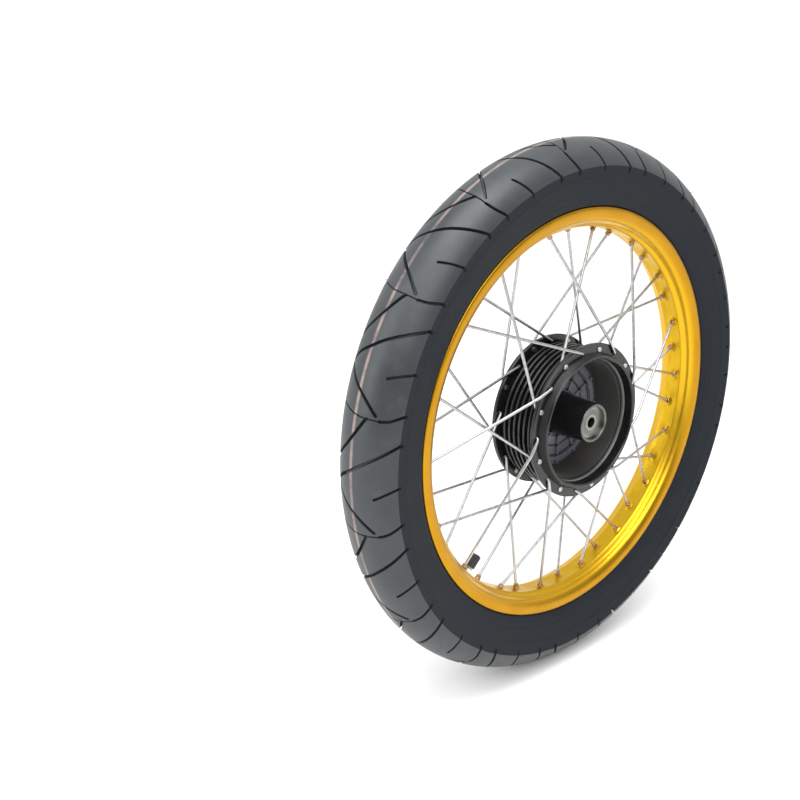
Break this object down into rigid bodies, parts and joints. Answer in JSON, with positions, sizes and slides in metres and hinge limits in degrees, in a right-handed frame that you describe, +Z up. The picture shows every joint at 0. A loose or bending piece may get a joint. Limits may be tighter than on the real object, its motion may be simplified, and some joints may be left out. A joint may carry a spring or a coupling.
{
  "type": "spoked wheel",
  "caption": "Wire-spoked motorcycle wheel with grooved road tyre, anodised alloy rim and finned hub with an open brake drum.",
  "frame": {"origin": "centre of the wheel, on the axle's axis in the tyre's mid plane", "axes": "Y runs along the axle, with the open brake drum facing -Y; +Z is up; the valve is 225.8 degrees from +X towards +Z"},
  "size_m": [0.599, 0.0816, 0.5988],
  "materials": {
    "tyre_rubber": "matte sidewall, slightly glossy tread",
    "tube_rubber": "matte",
    "rim_anodised": "gold anodised, satin",
    "spoke_steel": "galvanised, satin",
    "nipple_steel": "dull plated",
    "hub_paint": "gloss black",
    "liner_iron": "turned, satin",
    "bearing_steel": "ground",
    "cage_steel": "pressed",
    "seal_rubber": "matte",
    "valve_metal": "plated",
    "cap_plastic": "matte black"
  },
  "bodies": {
    "axle_sleeve": {"spacer_tube": "bearing_steel", "bearing_drum_side_inner_race": "bearing_steel", "bearing_closed_side_inner_race": "bearing_steel"},
    "wheel": {"tyre": "tyre_rubber", "inner_tube": "tube_rubber", "rim_strip": "seal_rubber", "rim": "rim_anodised", "spoke_nipples": "nipple_steel", "hub_shell": "hub_paint", "brake_liner": "liner_iron", "dust_seal": "seal_rubber", "bearing_drum_side_outer_race": "bearing_steel", "bearing_drum_side_shields": "cage_steel", "bearing_closed_side_outer_race": "bearing_steel", "bearing_closed_side_shields": "cage_steel", "valve_stem": "valve_metal", "valve_nut": "valve_metal", "valve_core": "valve_metal", "spoke_01": "spoke_steel", "spoke_02": "spoke_steel", "spoke_03": "spoke_steel", "spoke_04": "spoke_steel", "spoke_05": "spoke_steel", "spoke_06": "spoke_steel", "spoke_07": "spoke_steel", "spoke_08": "spoke_steel", "spoke_09": "spoke_steel", "spoke_10": "spoke_steel", "spoke_11": "spoke_steel", "spoke_12": "spoke_steel", "spoke_13": "spoke_steel", "spoke_14": "spoke_steel", "spoke_15": "spoke_steel", "spoke_16": "spoke_steel", "spoke_17": "spoke_steel", "spoke_18": "spoke_steel", "spoke_19": "spoke_steel", "spoke_20": "spoke_steel", "spoke_21": "spoke_steel", "spoke_22": "spoke_steel", "spoke_23": "spoke_steel", "spoke_24": "spoke_steel", "spoke_25": "spoke_steel", "spoke_26": "spoke_steel", "spoke_27": "spoke_steel", "spoke_28": "spoke_steel", "spoke_29": "spoke_steel", "spoke_30": "spoke_steel", "spoke_31": "spoke_steel", "spoke_32": "spoke_steel", "spoke_33": "spoke_steel", "spoke_34": "spoke_steel", "spoke_35": "spoke_steel", "spoke_36": "spoke_steel"},
    "drum_side_balls": {"bearing_drum_side_balls": "bearing_steel", "bearing_drum_side_cage": "cage_steel"},
    "closed_side_balls": {"bearing_closed_side_balls": "bearing_steel", "bearing_closed_side_cage": "cage_steel"},
    "valve_pin": {"valve_pin": "valve_metal"},
    "valve_cap": {"valve_cap": "cap_plastic"}
  },
  "joints": [
    {"name": "wheel_spin", "type": "hinge", "parent": "axle_sleeve", "child": "wheel", "pos_m": [0, 0, 0], "axis": [0, 1, 0], "continuous": true},
    {"name": "drum_side_cage_spin", "type": "hinge", "parent": "axle_sleeve", "child": "drum_side_balls", "pos_m": [0, 0, 0], "axis": [0, 1, 0], "continuous": true},
    {"name": "closed_side_cage_spin", "type": "hinge", "parent": "axle_sleeve", "child": "closed_side_balls", "pos_m": [0, 0, 0], "axis": [0, 1, 0], "continuous": true},
    {"name": "valve_pin_press", "type": "slide", "parent": "wheel", "child": "valve_pin", "axis": [-0.6972, 0, -0.7169], "range_m": [0, 0.001], "stiffness_N_per_m": 400, "springref_m": -0.001},
    {"name": "valve_cap_unscrew", "type": "slide", "parent": "wheel", "child": "valve_cap", "axis": [0.6972, 0, 0.7169], "range_m": [0, 0.015]}
  ],
  "couplings": [
    {"joint": "drum_side_cage_spin", "follows": "wheel_spin", "ratio": 0.662},
    {"joint": "closed_side_cage_spin", "follows": "wheel_spin", "ratio": 0.662}
  ]
}
